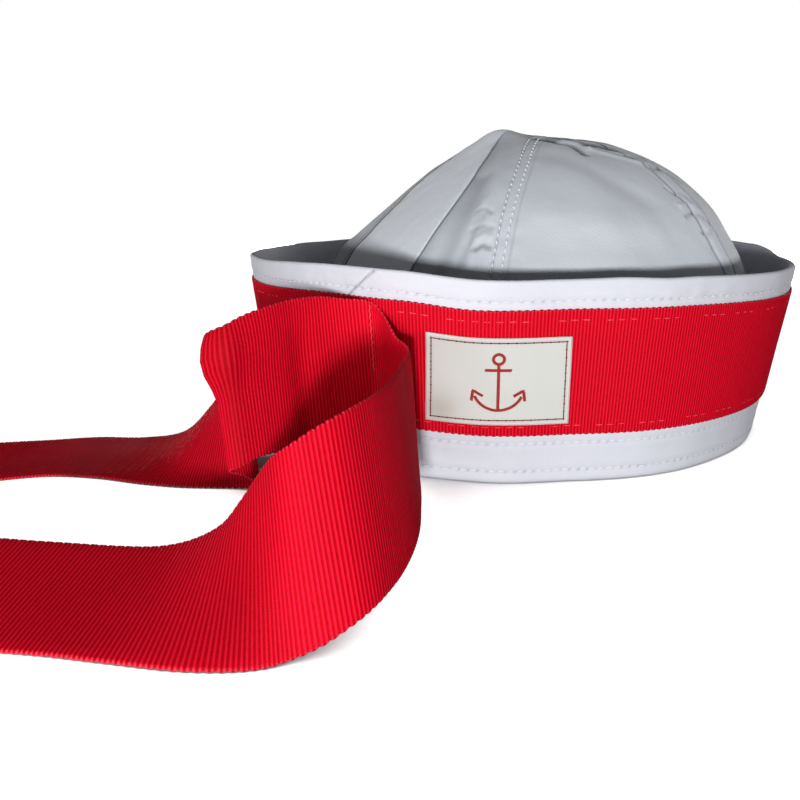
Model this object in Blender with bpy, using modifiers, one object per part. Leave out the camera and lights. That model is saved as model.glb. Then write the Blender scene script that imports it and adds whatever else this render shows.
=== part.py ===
# Sailor cap, standing on its brim. A crown of six soft gores sags towards the left inside an
# upstanding oval brim. A ribbed ribbon runs round the brim, with a small label at the front, and
# the ribbon's two loose tails leave one line of stitches and lie on the surface to the left.
#
# Metres, +Z up, the front of the cap towards -Y. The origin is the middle of the whole part's
# base box. Angles round the cap are degrees from the front, positive towards the right (+X).

import math

import bmesh
import bpy
from mathutils import Vector

MM = 0.001

# Cap as a whole
HAT_CENTER = Vector((35.4, 52.5, 0.0)) * MM
OVAL = 1.06                      # front-to-back size over side-to-side size
GAP = 0.3 * MM                   # between neighbouring pieces

# Brim: a wall that leans out, on a hem turned in under its foot
BASE_RADIUS = 92.6 * MM
RIM_RADIUS = 101.0 * MM
BRIM_HEIGHT = 61.5 * MM
BRIM_WALL = 2.0 * MM
HEM_WIDTH = 4.0 * MM
FOOT_ROUND = 1.2 * MM
RING_COLUMNS = 90
BRIM_LEVELS = 5

# Ribbon and label; heights are shares of the brim's slanted height
RIBBON_WIDTH = 38.0 * MM
RIBBON_THICKNESS = 1.0 * MM
BAND_FOOT = 0.254
BAND_TOP = 0.862
LABEL_FOOT = 0.315
LABEL_TOP = 0.738
LABEL_WIDTH = 40.0 * MM
LABEL_THICKNESS = 0.6 * MM
STITCH_ANGLE = -21.5
STITCH_GAP = 1.6 * MM            # between the two tails at the stitch line

# Crown: six gores between six seams
CROWN_WALL = 2.0 * MM
SEAM_GAP = 0.5 * MM
GORE_COLUMNS = 9
GORE_ROWS = 14
PEAK = Vector((-8.0, -12.0, 0.0)) * MM
PEAK_RISE = 3.0 * MM
PEAK_SPREAD = 7.0 * MM
LEFT_FOLD = -88.0                # the two folds that bound the flat facet at the front left
FRONT_FOLD = -21.0
FACET_BULGE = 2.0 * MM

# Crown sections from foot to pole, in millimetres: the full meridian (right side) and the
# slack one (left side), how far right of the cap's middle it is centred, and how far its facet
# has grown.
CROWN_SECTIONS = [
    # full radius, full height, slack radius, slack height, middle, facet
    (90.0, 2.3, 90.0, 2.3, 0.0, 0.0),
    (91.0, 20.0, 87.0, 18.0, 0.0, 0.1),
    (90.0, 40.0, 79.5, 38.0, 0.0, 0.6),
    (85.2, 57.0, 69.0, 60.0, 0.0, 1.0),
    (79.6, 67.7, 61.3, 67.3, -0.2, 1.0),
    (71.8, 79.6, 50.2, 76.5, -0.5, 1.0),
    (58.0, 91.2, 38.6, 85.6, -0.9, 1.0),
    (39.0, 99.8, 26.6, 94.0, -1.5, 1.0),
    (21.5, 102.6, 14.5, 101.0, 0.0, 0.6),
    (1.5, 104.0, 1.5, 104.0, 5.0, 0.0),
]

# The angles at which the six seams stand, at every third crown section from foot to pole
SEAM_PATHS = [
    # left front, front, right front, right back, back, left back
    (-71.0, -3.0, 56.0, 117.0, 177.0, 237.0),
    (-71.5, -3.2, 56.0, 117.0, 177.0, 237.0),
    (-75.0, 2.4, 55.5, 119.0, 178.0, 235.0),
    (-82.0, 24.0, 66.0, 124.0, 180.0, 230.0),
]
SEAM_STEP = 3                    # crown sections from one row of seam angles to the next
GORES = [
    "crown_gore_front_left",
    "crown_gore_front_right",
    "crown_gore_right",
    "crown_gore_back_right",
    "crown_gore_back_left",
    "crown_gore_left",
]

# How full the crown is round the cap: 0 is the slack meridian, 1 the full one.
CROWN_FULLNESS = [
    # angle, share
    (-88.0, 0.00),
    (-21.0, 0.65),
    (-12.0, 0.60),
    (-3.0, 0.72),
    (30.0, 0.90),
    (60.0, 0.97),
    (98.0, 1.00),
    (130.0, 0.92),
    (177.0, 0.75),
    (220.0, 0.50),
    (250.0, 0.12),
]

# The brim's soft waves, in millimetres: outwards at the foot and the rim, and up at the rim.
BRIM_WAVES = [
    # angle, foot bulge, rim bulge, rise
    (-100.0, 0.0, 0.0, -1.0),
    (-61.0, 0.0, 0.0, 0.0),
    (-30.0, 1.0, 0.8, 1.9),
    (-17.0, 3.5, 2.2, 1.7),
    (-3.0, 2.8, 1.5, -0.5),
    (14.0, 0.0, -2.0, -0.1),
    (30.0, 1.0, -1.0, -0.2),
    (60.0, 0.3, 0.5, -1.3),
    (90.0, 0.0, 0.0, -1.3),
    (106.0, 0.0, 0.0, 1.8),
    (130.0, 0.0, 0.0, 2.5),
    (170.0, 0.0, 0.0, 0.0),
    (225.0, 0.0, 0.0, -1.0),
]

# The tails, a row for each bend of the ribbon: the lower edge's place measured from the cap's
# centre in millimetres, then where the ribs lean to, in degrees of a compass with 0 at +X and
# 90 at +Y, and how steep they stand, from 0 lying flat to 90 upright.
FRONT_TAIL = [
    # x, y, z, lean towards, steepness
    (-30.0, -100.8, 13.0, -135, 82),
    (-25.7, -106.0, 9.8, -124, 79),
    (-23.3, -112.0, 7.6, -150, 82),
    (-21.3, -119.0, 6.4, -165, 85),
    (-19.4, -127.5, 5.8, 170, 85),
    (-17.5, -140.5, 5.8, 140, 79),
    (-16.0, -154.0, 6.2, 135, 76),
    (-15.4, -168.0, 6.8, 137, 76),
    (-16.0, -181.5, 7.4, 137, 76),
    (-17.8, -192.5, 7.6, 134, 74),
    (-20.2, -198.6, 6.8, 134, 73),
    (-23.4, -202.0, 5.2, 133, 72),
    (-27.2, -204.2, 3.0, 129, 71),
    (-32.0, -206.0, 1.0, 118, 66),
    (-37.5, -208.8, 0.0, 108, 49),
    (-44.5, -211.0, 0.0, 102, 33),
    (-54.5, -212.0, 0.0, 95, 20),
    (-68.0, -211.5, 0.0, 91, 11),
    (-84.0, -211.0, 0.0, 91, 8),
    (-112.0, -212.0, 0.0, 94, 9),
]
BACK_TAIL = [
    # x, y, z, lean towards, steepness
    (-41.0, -101.5, 16.2, -152, 84),
    (-47.5, -107.0, 17.2, -172, 85),
    (-53.5, -115.0, 17.4, 172, 85),
    (-58.5, -123.5, 16.4, 164, 85),
    (-63.0, -130.5, 14.6, 172, 84),
    (-66.5, -133.8, 12.5, 170, 84),
    (-70.3, -133.0, 10.5, 159, 83),
    (-71.2, -129.0, 8.5, 154, 81),
    (-69.2, -126.0, 6.8, 148, 78),
    (-67.0, -123.8, 4.5, 144, 77),
    (-66.4, -120.6, 2.0, 139, 76),
    (-69.4, -118.4, 0.5, 122, 72),
    (-75.5, -117.8, 0.0, 103, 62),
    (-83.0, -118.6, 0.0, 95, 43),
    (-92.0, -119.3, 0.0, 93, 24),
    (-104.0, -118.5, 0.0, 91, 8),
    (-119.0, -116.0, 0.0, 92, 2),
    (-134.0, -116.5, 0.0, 95, 1),
    (-148.0, -123.0, 0.0, 100, 1),
    (-162.0, -133.5, 0.0, 105, 3),
]
TAIL_STEPS = 3                   # mesh columns for each row of a tail's table
TAIL_ROWS = 3

# Materials: colour, roughness
WHITE_COTTON = ("white_cotton", (0.60, 0.62, 0.69), 0.85)
RED_GROSGRAIN = ("red_grosgrain", (0.62, 0.005, 0.02), 0.55)
LABEL_CLOTH = ("label_cloth", (0.66, 0.62, 0.56), 0.80)


def clear_scene():
    for old in list(bpy.data.objects):
        bpy.data.objects.remove(old)


def make_collection(name):
    collection = bpy.data.collections.new(name)
    bpy.context.scene.collection.children.link(collection)
    return collection


def make_material(name, color, roughness):
    material = bpy.data.materials.new(name)
    material.use_nodes = True
    shader = material.node_tree.nodes["Principled BSDF"]
    shader.inputs["Base Color"].default_value = (*color, 1.0)
    shader.inputs["Roughness"].default_value = roughness
    shader.inputs["Metallic"].default_value = 0.0
    return material


def blend(low, high, share):
    return low + (high - low) * share


def smooth_row(rows, place):
    # The row at a fractional index, on a Catmull-Rom curve through a table's rows
    index = min(int(place), len(rows) - 2)
    share = place - index
    start, end = rows[index], rows[index + 1]
    before = rows[index - 1] if index > 0 else [2 * a - b for a, b in zip(start, end)]
    after = rows[index + 2] if index + 2 < len(rows) else [2 * b - a for a, b in zip(start, end)]
    return [
        0.5 * (2 * b + (c - a) * share
               + (2 * a - 5 * b + 4 * c - d) * share ** 2
               + (3 * b - a - 3 * c + d) * share ** 3)
        for a, b, c, d in zip(before, start, end, after)
    ]


def around_row(rows, angle):
    # The values of a table at an angle, easing from row to row all the way round
    first = rows[0][0]
    angle = first + (angle - first) % 360.0
    ring = rows + [(first + 360.0, *rows[0][1:])]
    for low, high in zip(ring, ring[1:]):
        if angle <= high[0]:
            share = (angle - low[0]) / (high[0] - low[0])
            ease = share * share * (3.0 - 2.0 * share)
            return [blend(a, b, ease) for a, b in zip(low[1:], high[1:])]


def ring_point(angle, radius, height):
    turn = math.radians(angle)
    return Vector((radius * math.sin(turn), -radius * OVAL * math.cos(turn), height))


def brim_point(angle, share, outward=0.0):
    # On the brim's outer face, share of the way up its slant, or that far outside it
    foot_bulge, rim_bulge, rise = around_row(BRIM_WAVES, angle)
    radius = blend(BASE_RADIUS + foot_bulge * MM, RIM_RADIUS + rim_bulge * MM, share)
    height = (BRIM_HEIGHT + rise * MM) * share
    return ring_point(angle, radius + outward, height)


def crown_meridian(angle, place):
    # The crown's outer face at a fractional section, before the facet is flattened
    full_r, full_z, slack_r, slack_z, middle, _ = smooth_row(CROWN_SECTIONS, place)
    fullness = around_row(CROWN_FULLNESS, angle)[0]
    radius = blend(slack_r, full_r, fullness) * MM
    height = blend(slack_z, full_z, fullness) * MM
    point = ring_point(angle, radius, height) + Vector((middle * MM, 0.0, 0.0))
    off_peak = (point - PEAK).to_2d().length / PEAK_SPREAD
    return point + Vector((0.0, 0.0, PEAK_RISE * math.exp(-0.5 * off_peak ** 2)))


def crown_point(angle, place):
    # The crown's outer face, with the flat facet between its two folds
    angle = (angle + 180.0) % 360.0 - 180.0
    point = crown_meridian(angle, place)
    share = (angle - LEFT_FOLD) / (FRONT_FOLD - LEFT_FOLD)
    if not 0.0 < share < 1.0:
        return point
    flatness = smooth_row(CROWN_SECTIONS, place)[5]
    left, front = crown_meridian(LEFT_FOLD, place), crown_meridian(FRONT_FOLD, place)
    chord = left.lerp(front, share)
    out = ring_point(angle, 1.0, 0.0).normalized()
    chord += out * FACET_BULGE * 4.0 * share * (1.0 - share)
    return point.lerp(chord, flatness)


def cloth(name, columns, rows, place, wall, side, material, collection, closed=False):
    # A sheet of columns by rows quads, laid by place(column, row) and thickened towards one
    # side of it: -1 inwards, 0 both ways, 1 outwards.
    sheet = bmesh.new()
    bmesh.ops.create_grid(sheet, x_segments=columns, y_segments=rows, size=1.0)
    for vertex in sheet.verts:
        column = round((vertex.co.x + 1.0) * 0.5 * columns)
        row = round((vertex.co.y + 1.0) * 0.5 * rows)
        vertex.co = HAT_CENTER + place(column, row)
    if closed:
        bmesh.ops.remove_doubles(sheet, verts=sheet.verts, dist=0.001 * MM)
    mesh = bpy.data.meshes.new(name)
    sheet.to_mesh(mesh)
    sheet.free()
    mesh.shade_smooth()
    mesh.set_sharp_from_angle(angle=math.radians(40.0))
    mesh.materials.append(material)
    piece = bpy.data.objects.new(name, mesh)
    collection.objects.link(piece)
    thick = piece.modifiers.new("wall", "SOLIDIFY")
    thick.thickness = wall
    thick.offset = side
    thick.use_even_offset = True
    return piece


def make_brim(material, collection):
    # The section runs from the hem's inner edge out to the foot and up the wall
    hem = [(-HEM_WIDTH, 0.0), (-FOOT_ROUND, 0.0), (-0.25 * FOOT_ROUND, 0.25 * FOOT_ROUND)]
    rows = len(hem) + BRIM_LEVELS

    def place(column, row):
        angle = 360.0 * column / RING_COLUMNS
        if row < len(hem):
            inset, height = hem[row]
            foot = brim_point(angle, 0.0, inset)
            return foot + Vector((0.0, 0.0, height))
        low = FOOT_ROUND / BRIM_HEIGHT
        return brim_point(angle, blend(low, 1.0, (row - len(hem)) / BRIM_LEVELS))

    cloth("brim", RING_COLUMNS, rows, place, BRIM_WALL, -1.0, material, collection, closed=True)


def make_band(material, collection):
    rows = 2

    def place(column, row):
        angle = 360.0 * column / RING_COLUMNS
        return brim_point(angle, blend(BAND_FOOT, BAND_TOP, row / rows), GAP)

    cloth("hat_band", RING_COLUMNS, rows, place, RIBBON_THICKNESS, 1.0, material, collection,
          closed=True)


def make_label(material, collection):
    columns, rows = 8, 2
    off_brim = GAP + RIBBON_THICKNESS + GAP

    def place(column, row):
        share = blend(LABEL_FOOT, LABEL_TOP, row / rows)
        across = LABEL_WIDTH * (column / columns - 0.5)
        angle = math.degrees(math.asin(across / blend(BASE_RADIUS, RIM_RADIUS, share)))
        return brim_point(angle, share, off_brim)

    cloth("label", columns, rows, place, LABEL_THICKNESS, 1.0, material, collection)


def make_gore(name, index, material, collection):
    # The gore from one seam to the next; the last one ends at the first seam, a turn further on
    last = len(CROWN_SECTIONS) - 1

    def place(column, row):
        section = last * row / GORE_ROWS
        seams = smooth_row(SEAM_PATHS, section / SEAM_STEP)
        seams.append(seams[0] + 360.0)
        full_r, _, slack_r, _, _, _ = smooth_row(CROWN_SECTIONS, section)
        inset = math.degrees(0.5 * SEAM_GAP / (0.5 * (full_r + slack_r) * MM))
        angle = blend(seams[index] + inset, seams[index + 1] - inset, column / GORE_COLUMNS)
        return crown_point(angle, section)

    cloth(name, GORE_COLUMNS, GORE_ROWS, place, CROWN_WALL, -1.0, material, collection)


def tail_rib(table, place, side):
    # The lower end and the direction of the rib at a fractional row; row 0 is the stitch line
    clear = GAP + RIBBON_THICKNESS + GAP + 0.5 * RIBBON_THICKNESS
    beside = STITCH_ANGLE + side * math.degrees(0.5 * STITCH_GAP / BASE_RADIUS)
    foot = brim_point(beside, BAND_FOOT, clear)
    up = (brim_point(beside, BAND_TOP, clear) - foot).normalized()
    rows = [(*foot, *up)]
    for x, y, z, lean, steepness in table:
        level = math.cos(math.radians(steepness))
        turn = math.radians(lean)
        rise = math.sin(math.radians(steepness))
        lower = Vector((x, y, z)) * MM + Vector((0.0, 0.0, 0.5 * RIBBON_THICKNESS))
        rows.append((*lower, level * math.cos(turn), level * math.sin(turn), rise))
    row = smooth_row(rows, place)
    return Vector(row[:3]), Vector(row[3:]).normalized()


def make_tail(name, table, side, material, collection):
    columns = len(table) * TAIL_STEPS

    def place(column, row):
        lower, rib = tail_rib(table, column / TAIL_STEPS, side)
        return lower + rib * RIBBON_WIDTH * row / TAIL_ROWS

    cloth(name, columns, TAIL_ROWS, place, RIBBON_THICKNESS, 0.0, material, collection)


def main():
    clear_scene()
    collection = make_collection("sailor_cap")
    white = make_material(*WHITE_COTTON)
    red = make_material(*RED_GROSGRAIN)
    make_brim(white, collection)
    for index, name in enumerate(GORES):
        make_gore(name, index, white, collection)
    make_band(red, collection)
    make_label(make_material(*LABEL_CLOTH), collection)
    make_tail("ribbon_tail_front", FRONT_TAIL, 1.0, red, collection)
    make_tail("ribbon_tail_back", BACK_TAIL, -1.0, red, collection)


main()
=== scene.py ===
# Sailor cap: the looks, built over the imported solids. Tables are in millimetres measured from the
# cap's middle on the floor, and angles round the cap go from the front (-Y) towards the right (+X).
import math

import bpy
import numpy as np
from mathutils import Matrix, Vector, noise


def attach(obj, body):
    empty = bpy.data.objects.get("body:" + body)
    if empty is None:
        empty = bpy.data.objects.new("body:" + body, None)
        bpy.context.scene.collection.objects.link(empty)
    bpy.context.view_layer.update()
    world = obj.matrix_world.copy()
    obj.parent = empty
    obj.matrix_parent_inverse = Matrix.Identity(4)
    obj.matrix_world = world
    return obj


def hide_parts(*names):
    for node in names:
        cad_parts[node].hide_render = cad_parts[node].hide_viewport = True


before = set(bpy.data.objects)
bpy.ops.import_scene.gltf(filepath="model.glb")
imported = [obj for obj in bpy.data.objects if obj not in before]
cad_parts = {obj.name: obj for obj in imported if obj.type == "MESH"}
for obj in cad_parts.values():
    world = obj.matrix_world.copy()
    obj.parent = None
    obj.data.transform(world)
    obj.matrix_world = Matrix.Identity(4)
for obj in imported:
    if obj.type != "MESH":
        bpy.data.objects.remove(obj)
bpy.ops.object.select_all(action="DESELECT")
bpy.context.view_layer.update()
print("frame loaded:", len(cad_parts), "solids")

mm = 0.001
capMiddle = np.array((35.4, 52.5, 0.0)) * mm
ovalShare = 1.06                 # front to back over side to side


def smoothRow(table, place):
    # rows of a table at fractional places, on a smooth curve through them
    rows = np.array(table, float)
    rows = np.vstack([2 * rows[:1] - rows[1:2], rows, 2 * rows[-1:] - rows[-2:-1]])
    place = np.asarray(place, float)
    low = np.clip(place.astype(int), 0, len(rows) - 4)
    share = (place - low)[..., None]
    a, b, c, d = rows[low], rows[low + 1], rows[low + 2], rows[low + 3]
    return 0.5 * (2 * b + (c - a) * share + (2 * a - 5 * b + 4 * c - d) * share ** 2
                  + (3 * b - a - 3 * c + d) * share ** 3)


def roundRow(table, angle):
    # values of a table at angles, easing from row to row all the way round
    rows = np.array(table, float)
    ring = np.vstack([rows, [rows[0, 0] + 360.0, *rows[0, 1:]]])
    angle = rows[0, 0] + (np.asarray(angle, float) - rows[0, 0]) % 360.0
    low = np.clip(np.searchsorted(ring[:, 0], angle, side="right") - 1, 0, len(ring) - 2)
    share = (angle - ring[low, 0]) / (ring[low + 1, 0] - ring[low, 0])
    share = share * share * (3.0 - 2.0 * share)
    return ring[low, 1:] + (ring[low + 1, 1:] - ring[low, 1:]) * share[..., None]


def ringPoint(angle, radius, height):
    turn = np.radians(angle)
    across, ahead = radius * np.sin(turn), -radius * ovalShare * np.cos(turn)
    return np.stack(np.broadcast_arrays(across, ahead, height), -1)


def unit(vectors):
    return vectors / np.maximum(np.linalg.norm(vectors, axis=-1, keepdims=True), 1e-12)


def softStep(low, high, value):
    share = np.clip((value - low) / (high - low), 0.0, 1.0)
    return share * share * (3.0 - 2.0 * share)


def ridge(distance, width):
    return np.exp(-(distance / width) ** 2)


def roughness(points, size, seed):
    # smooth noise from -1 to 1 at points, with lumps of about that size in metres
    flat = points.reshape(-1, 3) / size + seed
    return np.array([noise.noise(Vector(p)) for p in flat]).reshape(points.shape[:-1])


def lengthAlong(line):
    # the distance along a line of points up to each of them
    return np.concatenate([[0.0], np.cumsum(np.linalg.norm(np.diff(line, axis=0), axis=1))])


def nearestOn(points, line):
    # distance of every point from a line of points, in metres
    flat, best = points.reshape(-1, 3), None
    for a, b in zip(line[:-1], line[1:]):
        along = b - a
        share = np.clip(((flat - a) @ along) / max(along @ along, 1e-12), 0.0, 1.0)
        gap = np.linalg.norm(flat - (a + share[:, None] * along), axis=1)
        best = gap if best is None else np.minimum(best, gap)
    return best.reshape(points.shape[:-1])


def clothMesh(name, points, uv, shade):
    # a grid primitive laid over points[column, row]; uv holds each point's place on the cloth in metres,
    # and shade its painted shade, from 0 to 1: shade painted into grooves, seams and folds, and broad tones
    # painted in for the light
    columns, rows = points.shape[0] - 1, points.shape[1] - 1
    bpy.ops.mesh.primitive_grid_add(x_subdivisions=columns, y_subdivisions=rows, size=2.0, location=(0, 0, 0))
    piece = bpy.context.object
    piece.name = piece.data.name = name
    mesh = piece.data
    spots = np.zeros(len(mesh.vertices) * 3, np.float32)
    mesh.vertices.foreach_get("co", spots)
    spots = spots.reshape(-1, 3)
    column = np.rint((spots[:, 0] + 1.0) * 0.5 * columns).astype(int)
    row = np.rint((spots[:, 1] + 1.0) * 0.5 * rows).astype(int)
    mesh.vertices.foreach_set("co", points[column, row].astype(np.float32).ravel())
    corners = np.zeros(len(mesh.loops), np.int32)
    mesh.loops.foreach_get("vertex_index", corners)
    mesh.uv_layers[0].data.foreach_set("uv", uv[column, row][corners].astype(np.float32).ravel())
    # the painted shade is stored on the mesh, for the material to darken its colour by
    painted_shade = mesh.attributes.new("painted_shade", "FLOAT", "POINT")
    painted_shade.data.foreach_set("value", np.clip(shade, 0.0, 0.95)[column, row].astype(np.float32))
    bpy.ops.object.mode_set(mode="EDIT")
    bpy.ops.mesh.select_all(action="SELECT")
    bpy.ops.mesh.remove_doubles(threshold=0.001 * mm)
    bpy.ops.mesh.normals_make_consistent(inside=False)
    bpy.ops.object.mode_set(mode="OBJECT")
    bpy.ops.object.shade_smooth()
    return piece


def wallOf(piece, thickness, side):
    bpy.context.view_layer.objects.active = piece
    wall = piece.modifiers.new("wall", "SOLIDIFY")
    wall.thickness, wall.offset = thickness, side
    bpy.ops.object.modifier_apply(modifier=wall.name)


def finishPiece(piece, material, nodes=()):
    piece.data.materials.clear()
    piece.data.materials.append(material)
    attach(piece, "root")
    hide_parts(*nodes)
    piece.select_set(False)
    print("made", piece.name, len(piece.data.polygons), "faces")
    return piece


def fillNode(tree, node, inputs):
    # each input is linked to a socket or set to a value
    for key, value in inputs.items():
        if isinstance(value, bpy.types.NodeSocket):
            tree.links.new(value, node.inputs[key])
        else:
            node.inputs[key].default_value = value
    return node


def addNode(tree, kind, inputs):
    return fillNode(tree, tree.nodes.new("ShaderNode" + kind), inputs)


class ClothMaterial:
    # a cloth finish, built up node by node
    def __init__(self, name, roughness, sheen=0.0, shine=0.15):
        self.material = bpy.data.materials.new(name)
        self.material.use_nodes = True
        self.tree = self.material.node_tree
        self.shader = fillNode(self.tree, self.tree.nodes["Principled BSDF"], {
            "Roughness": roughness, "Sheen Weight": sheen, "Specular IOR Level": shine})
        self.place = self.add("TexCoord", {})
        self.bump = None

    def add(self, kind, inputs):
        return addNode(self.tree, kind, inputs)

    def mapped(self, kind, turn=0.0):
        mapping = self.add("Mapping", {"Vector": self.place.outputs[kind]})
        mapping.inputs["Rotation"].default_value[2] = math.radians(turn)
        return mapping.outputs["Vector"]

    def threads(self, pitch, turn, wobble=0.0):
        # parallel threads on the cloth's own uv, this far apart in metres
        return self.add("TexWave", {
            "Scale": 2.0 * math.pi / 20.0 / pitch, "Distortion": wobble, "Detail Scale": 1.5,
            "Vector": self.mapped("UV", turn)}).outputs["Fac"]

    def clouds(self, size, detail=3.0):
        return self.add("TexNoise", {
            "Scale": 1.0 / size, "Detail": detail, "Vector": self.mapped("Object")}).outputs["Fac"]

    def blendColors(self, factor, first, second):
        mix = self.add("Mix", {})
        mix.data_type = "RGBA"
        first, second = ((*color, 1.0) if isinstance(color, tuple) else color for color in (first, second))
        return fillNode(self.tree, mix, {0: factor, 6: first, 7: second}).outputs[2]

    def spread(self, value, low, high):
        # stretches a texture's low to high over 0 to 1
        return self.add("MapRange", {"From Min": low, "From Max": high, "Value": value}).outputs["Result"]

    def color(self, value):
        fillNode(self.tree, self.shader, {"Base Color": value})

    def paintShade(self, value, shadedColor):
        # paints shade into a colour: the cloth's painted shade darkens it towards the shaded colour, in
        # grooves, seams, folds and stitch pits, and in broad tones painted in for the light
        painted_shade = self.add("Attribute", {})
        painted_shade.attribute_name = "painted_shade"
        return self.blendColors(painted_shade.outputs["Fac"], value, shadedColor)

    def nearEdges(self, width, start, end):
        # 0 over most of a ribbon of that width, rising to 1 from start to end metres off its middle line
        parts = self.add("SeparateXYZ", {0: self.place.outputs["UV"]})
        off = self.add("Math", {0: parts.outputs["Y"], 1: width / 2})
        off.operation = "SUBTRACT"
        size = self.add("Math", {0: off.outputs[0]})
        size.operation = "ABSOLUTE"
        return self.spread(size.outputs[0], start, end)

    def raised(self, height, depth, strength=1.0):
        bump = self.add("Bump", {"Strength": strength, "Distance": depth, "Height": height})
        if self.bump:
            fillNode(self.tree, bump, {"Normal": self.bump})
        self.bump = bump.outputs["Normal"]
        fillNode(self.tree, self.shader, {"Normal": self.bump})


def makeCrownTwill(name, dark, relief):
    cloth = ClothMaterial(name, 0.85, 0.25)
    twill = cloth.threads(0.85 * mm, -24.0, 1.0)
    mottle = cloth.clouds(14 * mm, 4.0)
    white = cloth.blendColors(cloth.spread(mottle, 0.3, 0.7), (0.80, 0.85, 0.94), (0.86, 0.91, 0.99))
    pale = cloth.blendColors(cloth.spread(cloth.clouds(1.1 * mm, 2.0), 0.35, 0.7), white, (0.87, 0.92, 1.00))
    weave = cloth.blendColors(cloth.spread(twill, 0.15, 0.85), dark, pale)
    cloth.color(cloth.paintShade(weave, (0.07, 0.08, 0.09)))
    cloth.raised(twill, 0.08 * mm, relief)
    cloth.raised(cloth.threads(0.42 * mm, 66.0, 0.8), 0.03 * mm, 0.4)
    cloth.raised(cloth.clouds(5 * mm, 3.0), 0.5 * mm, 0.35)
    return cloth.material


def makeBrimCotton():
    cloth = ClothMaterial("whiteCotton", 0.82, 0.1)
    mottle = cloth.clouds(9 * mm, 4.0)
    white = cloth.blendColors(cloth.spread(mottle, 0.3, 0.7), (0.57, 0.58, 0.64), (0.62, 0.63, 0.69))
    fine = cloth.blendColors(cloth.threads(0.5 * mm, 0.0, 0.6), white, (0.60, 0.61, 0.67))
    cloth.color(cloth.paintShade(fine, (0.17, 0.17, 0.20)))
    cloth.raised(cloth.threads(0.5 * mm, 0.0, 0.6), 0.04 * mm, 0.4)
    cloth.raised(cloth.threads(0.5 * mm, 90.0, 0.6), 0.04 * mm, 0.4)
    cloth.raised(cloth.clouds(3.5 * mm, 3.0), 0.3 * mm, 0.35)
    return cloth.material


def makeGrosgrain(ribPitch):
    cloth = ClothMaterial("redGrosgrain", 0.6, 0.0, 0.04)
    rib = cloth.threads(ribPitch, 0.0, 0.0)                # crest of each rib
    warp = cloth.threads(0.28 * mm, 90.0, 2.0)
    mottle = cloth.clouds(0.9 * mm, 3.0)
    # painted shade in the valleys between the ribs, and a painted highlight on their crests
    valley = cloth.blendColors(cloth.spread(mottle, 0.3, 0.7), (0.43, 0.0003, 0.005), (0.54, 0.0006, 0.008))
    crest = cloth.blendColors(warp, (0.72, 0.002, 0.019), (0.90, 0.014, 0.050))
    ribs = cloth.blendColors(cloth.spread(rib, 0.35, 0.85), valley, crest)
    edges = cloth.nearEdges(ribbon["width"] * mm, 18.4 * mm, 18.9 * mm)      # painted highlight on the loops of thread along the edges
    loops = cloth.blendColors(cloth.spread(rib, 0.3, 0.9), (0.50, 0.001, 0.010), (0.92, 0.050, 0.090))
    cloth.color(cloth.paintShade(cloth.blendColors(edges, ribs, loops), (0.10, 0.0001, 0.001)))
    cloth.raised(warp, 0.05 * mm, 0.5)
    cloth.raised(cloth.clouds(0.6 * mm, 3.0), 0.05 * mm, 0.4)
    return cloth.material


def makeLabelCloth():
    cloth = ClothMaterial("labelCloth", 0.8, 0.05)
    weave = cloth.threads(0.45 * mm, 0.0, 0.5)
    mottle = cloth.clouds(12 * mm, 4.0)
    cream = cloth.blendColors(cloth.spread(mottle, 0.35, 0.75), (0.58, 0.585, 0.56), (0.54, 0.54, 0.495))
    cloth.color(cloth.paintShade(cloth.blendColors(weave, cream, (0.59, 0.595, 0.57)), (0.26, 0.21, 0.16)))
    cloth.raised(weave, 0.04 * mm, 0.5)
    cloth.raised(cloth.threads(0.45 * mm, 90.0, 0.5), 0.04 * mm, 0.5)
    return cloth.material


def makeThread(name, dark, light):
    cloth = ClothMaterial(name, 0.6, 0.1)
    twist = cloth.clouds(0.3 * mm, 2.0)
    cloth.color(cloth.blendColors(cloth.spread(twist, 0.3, 0.7), dark, light))
    cloth.raised(twist, 0.05 * mm, 0.5)
    return cloth.material


def makeStitch():
    # one stitch, to be copied along every row
    bpy.ops.mesh.primitive_uv_sphere_add(segments=6, ring_count=5, radius=0.5, location=(0, 0, 0),
                                         rotation=(0, math.radians(90), 0))
    stitch = bpy.context.object
    bpy.ops.object.transform_apply(location=False, rotation=True, scale=False)
    spots = np.array([list(v.co) for v in stitch.data.vertices])
    faces = sorted(list(p.vertices) for p in stitch.data.polygons)      # a sphere lists them in any order
    bpy.data.objects.remove(stitch)
    return spots, faces


stitchShape = makeStitch()


def stitchRows(name, rows, length, width, material):
    # lays a copy of the stitch at every middle, along its row and standing a little out of the cloth;
    # a row is its stitches' middles, the way they run and the way out of the cloth
    middles, alongs, outs = (np.concatenate(part) for part in zip(*rows))
    spots, faces = stitchShape
    alongs = unit(alongs)
    outs = unit(outs - (outs * alongs).sum(-1, keepdims=True) * alongs)
    sides = np.cross(alongs, outs)
    vertices = (middles[:, None] + spots[None, :, :1] * alongs[:, None] * length
                + spots[None, :, 1:2] * sides[:, None] * width
                + spots[None, :, 2:] * outs[:, None] * width * 0.8)
    copies = [[i + k * len(spots) for i in face] for k in range(len(middles)) for face in faces]
    mesh = bpy.data.meshes.new(name)
    mesh.from_pydata(vertices.reshape(-1, 3).tolist(), [], copies)
    mesh.update()
    piece = bpy.data.objects.new(name, mesh)
    bpy.context.scene.collection.objects.link(piece)
    bpy.context.view_layer.objects.active = piece
    piece.select_set(True)
    bpy.ops.object.shade_smooth()
    return finishPiece(piece, material)


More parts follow.
